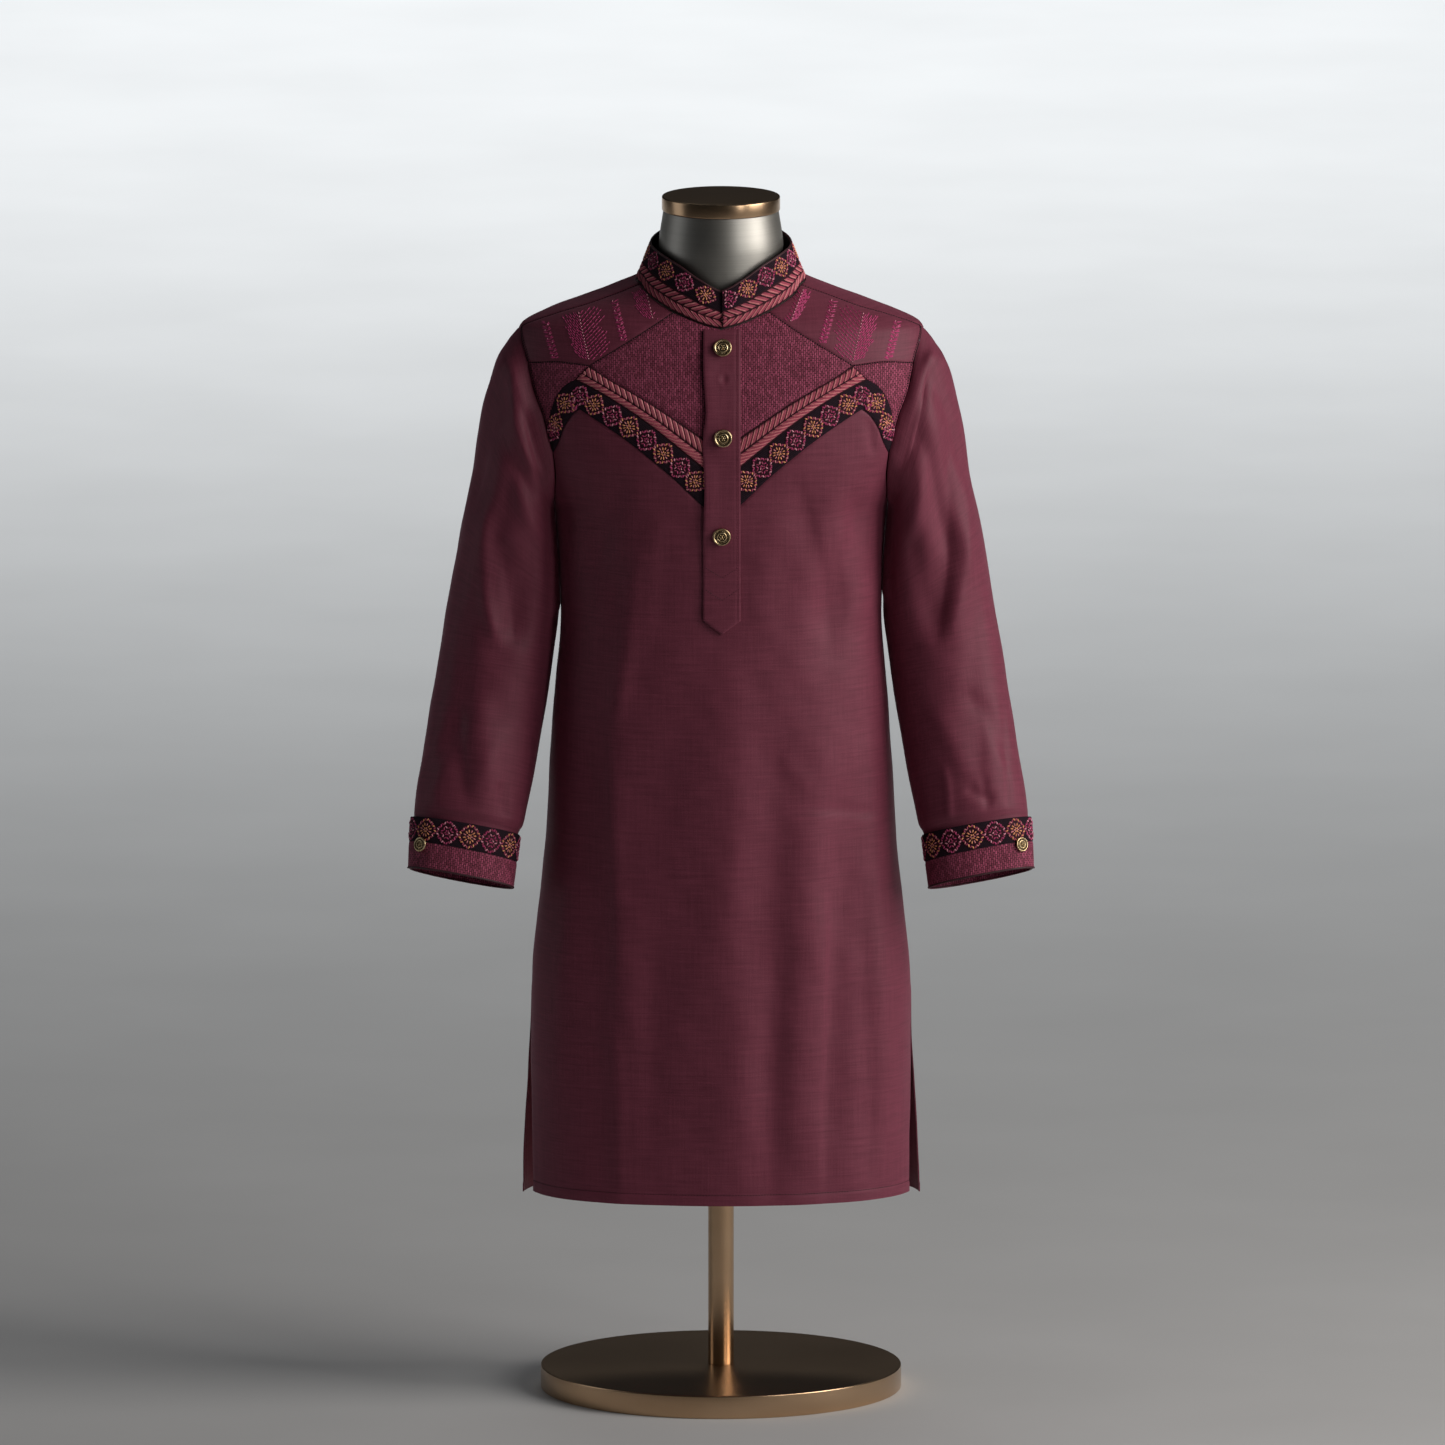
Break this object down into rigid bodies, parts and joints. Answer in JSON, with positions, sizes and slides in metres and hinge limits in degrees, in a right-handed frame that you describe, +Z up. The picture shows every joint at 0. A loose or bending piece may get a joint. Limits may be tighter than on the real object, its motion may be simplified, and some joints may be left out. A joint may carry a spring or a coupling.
{
  "type": "kurta tunic on dress form stand",
  "caption": "Long-sleeved knee-length tunic with a stand collar, pieced and trimmed chest, button placket, lapped cuffs and side slits, worn by a limbless form on a round base",
  "frame": {"origin": "centre of the stand base's underside, which rests on the floor", "axes": "+Z up along the pole, -Y out of the garment's front, +X to the viewer's right"},
  "size_m": [0.6576, 0.379, 1.2695],
  "materials": {
    "cloth": "slubbed satin-backed linen, soft sheen",
    "jacquard": "textured jacquard, matt",
    "braid": "herringbone satin-stitch braid",
    "floral": "dark band embroidered with medallions",
    "brass": "antique, worn on the rim",
    "steel": "fine brushed, soft",
    "bronze": "dark bronze lacquer, glossy"
  },
  "bodies": {
    "root": {"back": "cloth", "front": "cloth", "placket": "cloth", "sleeve_left": "cloth", "sleeve_right": "cloth", "yoke_left": "cloth", "yoke_right": "cloth", "chest_left": "jacquard", "chest_right": "jacquard", "side_panel_left": "jacquard", "side_panel_right": "jacquard", "cuff_left": "jacquard", "cuff_right": "jacquard", "braid_left": "braid", "braid_right": "braid", "collar_braid": "braid", "band_left": "floral", "band_right": "floral", "collar_band": "floral", "cuff_band_left": "floral", "cuff_band_right": "floral", "button_1": "brass", "button_2": "brass", "button_3": "brass", "cuff_button_left": "brass", "cuff_button_right": "brass", "form_torso": "steel", "form_cap": "bronze", "form_pole": "bronze", "form_base": "bronze"}
  },
  "joints": []
}
